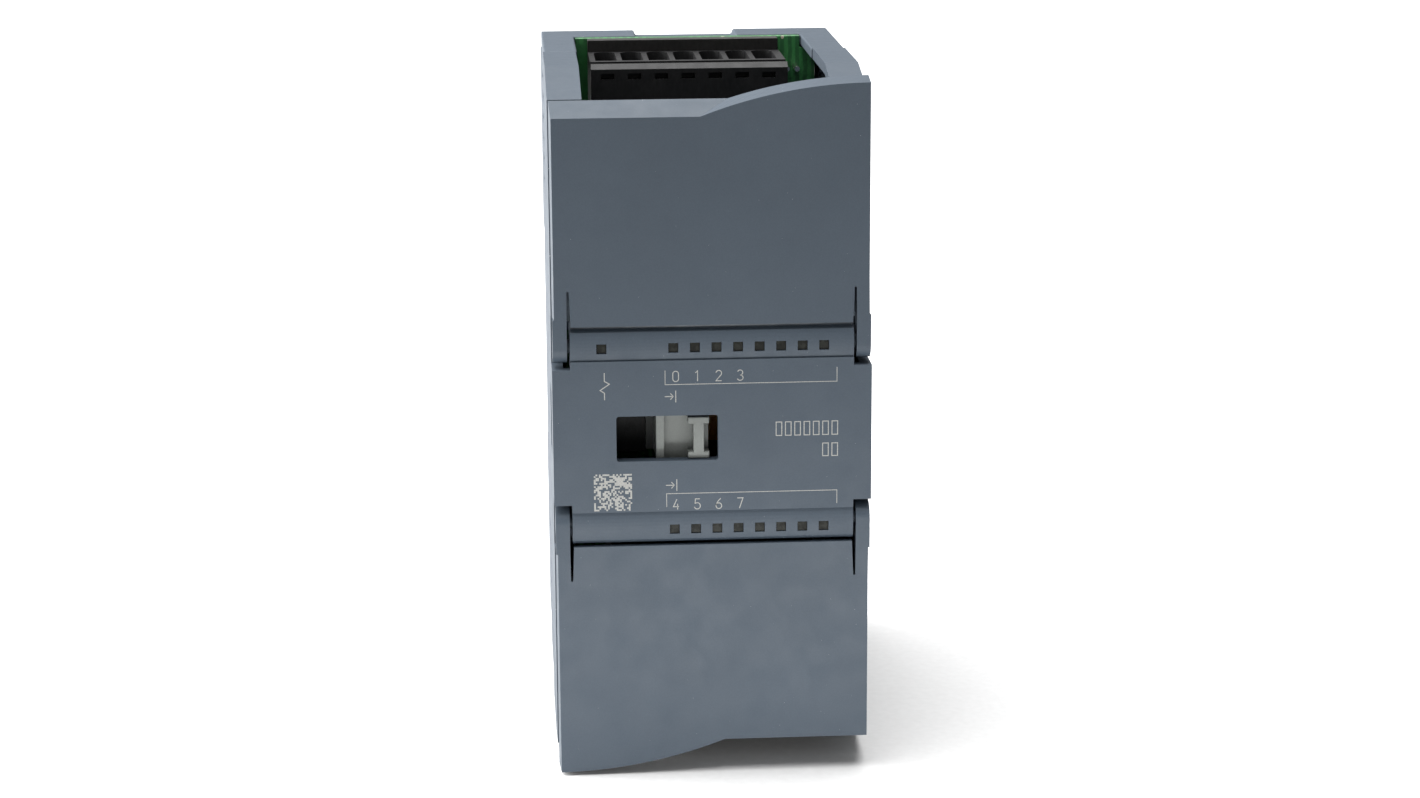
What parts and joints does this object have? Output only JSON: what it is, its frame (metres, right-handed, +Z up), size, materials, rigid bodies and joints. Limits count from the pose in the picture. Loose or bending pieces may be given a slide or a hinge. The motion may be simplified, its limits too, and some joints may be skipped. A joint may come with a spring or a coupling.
{
  "type": "plc module",
  "caption": "Rail-mounted controller expansion module with hinged terminal covers, indicator rows, plug-in screw terminals and a sliding side bus connector.",
  "frame": {"origin": "centre of the seat at the bottom of the rail channel, which rests on the front of a 35 mm rail", "axes": "+X right seen from the front, +Y to the rear towards the rail, +Z up"},
  "size_m": [0.045, 0.075, 0.1],
  "materials": {
    "housing_plastic": "fine matt moulding texture",
    "clip_plastic": "matt",
    "header_plastic": "satin",
    "terminal_plastic": "satin",
    "connector_plastic": "satin",
    "zinc_screw": "zinc plated",
    "tin_clamp": "tin plated",
    "contact_metal": "plated",
    "circuit_board": "solder mask",
    "light_pipe": "clear moulded",
    "led_body": "gloss",
    "slider_plastic": "satin",
    "flex_film": "satin film",
    "ivory_plastic": "satin",
    "chip_body": "matt epoxy",
    "transformer_body": "matt",
    "ferrite": "matt",
    "capacitor_sleeve": "gloss sleeve",
    "bright_metal": "bright"
  },
  "bodies": {
    "housing": {"rear_housing": "housing_plastic", "front_housing": "housing_plastic", "upper_outer_header": "header_plastic", "upper_inner_header": "header_plastic", "lower_outer_header": "header_plastic", "lower_inner_header": "header_plastic", "upper_outer_header_pins": "contact_metal", "upper_inner_header_pins": "contact_metal", "lower_outer_header_pins": "contact_metal", "lower_inner_header_pins": "contact_metal", "upper_outer_plug": "terminal_plastic", "upper_inner_plug": "terminal_plastic", "lower_outer_plug": "terminal_plastic", "lower_inner_plug": "terminal_plastic", "upper_outer_screws": "zinc_screw", "upper_inner_screws": "zinc_screw", "lower_outer_screws": "zinc_screw", "lower_inner_screws": "zinc_screw", "upper_outer_clamps": "tin_clamp", "upper_inner_clamps": "tin_clamp", "lower_outer_clamps": "tin_clamp", "lower_inner_clamps": "tin_clamp", "upper_outer_contacts": "contact_metal", "upper_inner_contacts": "contact_metal", "lower_outer_contacts": "contact_metal", "lower_inner_contacts": "contact_metal", "main_board": "circuit_board", "front_board": "circuit_board", "link_socket": "header_plastic", "link_header": "header_plastic", "link_pins": "contact_metal", "upper_light_pipes": "light_pipe", "lower_light_pipes": "light_pipe", "diag_light_pipe": "light_pipe", "status_leds": "led_body", "bus_flex": "flex_film", "flex_connector": "ivory_plastic", "bus_socket": "connector_plastic", "bus_socket_contacts": "contact_metal", "microcontroller": "chip_body", "interface_chip": "chip_body", "converter_chips": "chip_body", "isolators": "chip_body", "transformer": "transformer_body", "power_inductor": "ferrite", "capacitors": "capacitor_sleeve", "crystal": "bright_metal", "probe_pins": "bright_metal"},
    "upper_door": {"upper_door": "housing_plastic"},
    "lower_door": {"lower_door": "housing_plastic"},
    "bus_slider": {"bus_slider": "slider_plastic", "bus_plug": "connector_plastic", "bus_plug_contacts": "contact_metal"},
    "upper_rail_clip": {"upper_rail_clip": "clip_plastic"},
    "lower_rail_clip": {"lower_rail_clip": "clip_plastic"}
  },
  "joints": [
    {"name": "upper_door_hinge", "type": "hinge", "parent": "housing", "child": "upper_door", "pos_m": [0, -0.0652, 0.0128], "axis": [1, 0, 0], "range_deg": [0, 100]},
    {"name": "lower_door_hinge", "type": "hinge", "parent": "housing", "child": "lower_door", "pos_m": [0, -0.0652, -0.0128], "axis": [-1, 0, 0], "range_deg": [0, 100]},
    {"name": "bus_slide", "type": "slide", "parent": "housing", "child": "bus_slider", "axis": [-1, 0, 0], "range_m": [0, 0.0085], "deforming": ["bus_flex"]},
    {"name": "upper_clip_slide", "type": "slide", "parent": "housing", "child": "upper_rail_clip", "axis": [0, 0, 1], "range_m": [0, 0.01]},
    {"name": "lower_clip_slide", "type": "slide", "parent": "housing", "child": "lower_rail_clip", "axis": [0, 0, -1], "range_m": [0, 0.01]}
  ]
}
